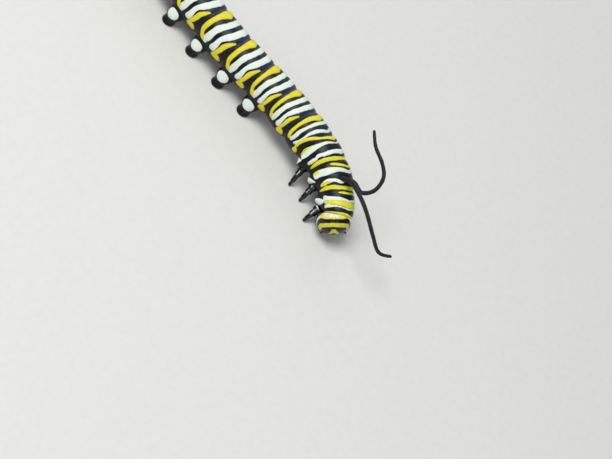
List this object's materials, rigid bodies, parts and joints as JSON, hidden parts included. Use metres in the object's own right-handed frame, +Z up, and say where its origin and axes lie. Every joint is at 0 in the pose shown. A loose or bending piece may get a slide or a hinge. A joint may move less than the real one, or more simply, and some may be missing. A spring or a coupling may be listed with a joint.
{
  "type": "monarch butterfly larva",
  "caption": "Still, life-size larva of the monarch butterfly, banded in black, yellow and white, crawling with its head turned aside and long front filaments.",
  "frame": {"origin": "on the floor under the middle of the larva's bounding box, filaments included", "axes": "+Y from the head towards the rear, along the length; +X towards the larva's left side; +Z up from the floor it stands on"},
  "size_m": [0.0092, 0.0458, 0.0072],
  "materials": {
    "banded_skin": "soft, finely ringed skin with bands of black, yellow and white",
    "proleg_skin": "soft black skin with a white patch on the outer side",
    "head_capsule": "glossy hard shell, black with yellow arches",
    "mouthparts": "glossy hard shell, blackish brown",
    "leg_shell": "glossy hard shell, black with pale streaks",
    "filament_skin": "soft velvety black skin"
  },
  "bodies": {
    "root": {"head": "head_capsule", "labrum": "mouthparts", "labium": "mouthparts", "antenna_left": "head_capsule", "antenna_right": "head_capsule", "mandible_left": "mouthparts", "mandible_right": "mouthparts", "thorax_1": "banded_skin", "thorax_2": "banded_skin", "thorax_3": "banded_skin", "abdomen_1": "banded_skin", "abdomen_2": "banded_skin", "abdomen_3": "banded_skin", "abdomen_4": "banded_skin", "abdomen_5": "banded_skin", "abdomen_6": "banded_skin", "abdomen_7": "banded_skin", "abdomen_8": "banded_skin", "abdomen_9": "banded_skin", "abdomen_10": "banded_skin", "leg_1_left": "leg_shell", "leg_1_right": "leg_shell", "leg_2_left": "leg_shell", "leg_2_right": "leg_shell", "leg_3_left": "leg_shell", "leg_3_right": "leg_shell", "proleg_3_left": "proleg_skin", "proleg_3_right": "proleg_skin", "proleg_4_left": "proleg_skin", "proleg_4_right": "proleg_skin", "proleg_5_left": "proleg_skin", "proleg_5_right": "proleg_skin", "proleg_6_left": "proleg_skin", "proleg_6_right": "proleg_skin", "proleg_10_left": "proleg_skin", "proleg_10_right": "proleg_skin", "filament_front_left": "filament_skin", "filament_front_right": "filament_skin", "filament_rear_left": "filament_skin", "filament_rear_right": "filament_skin"}
  },
  "joints": []
}
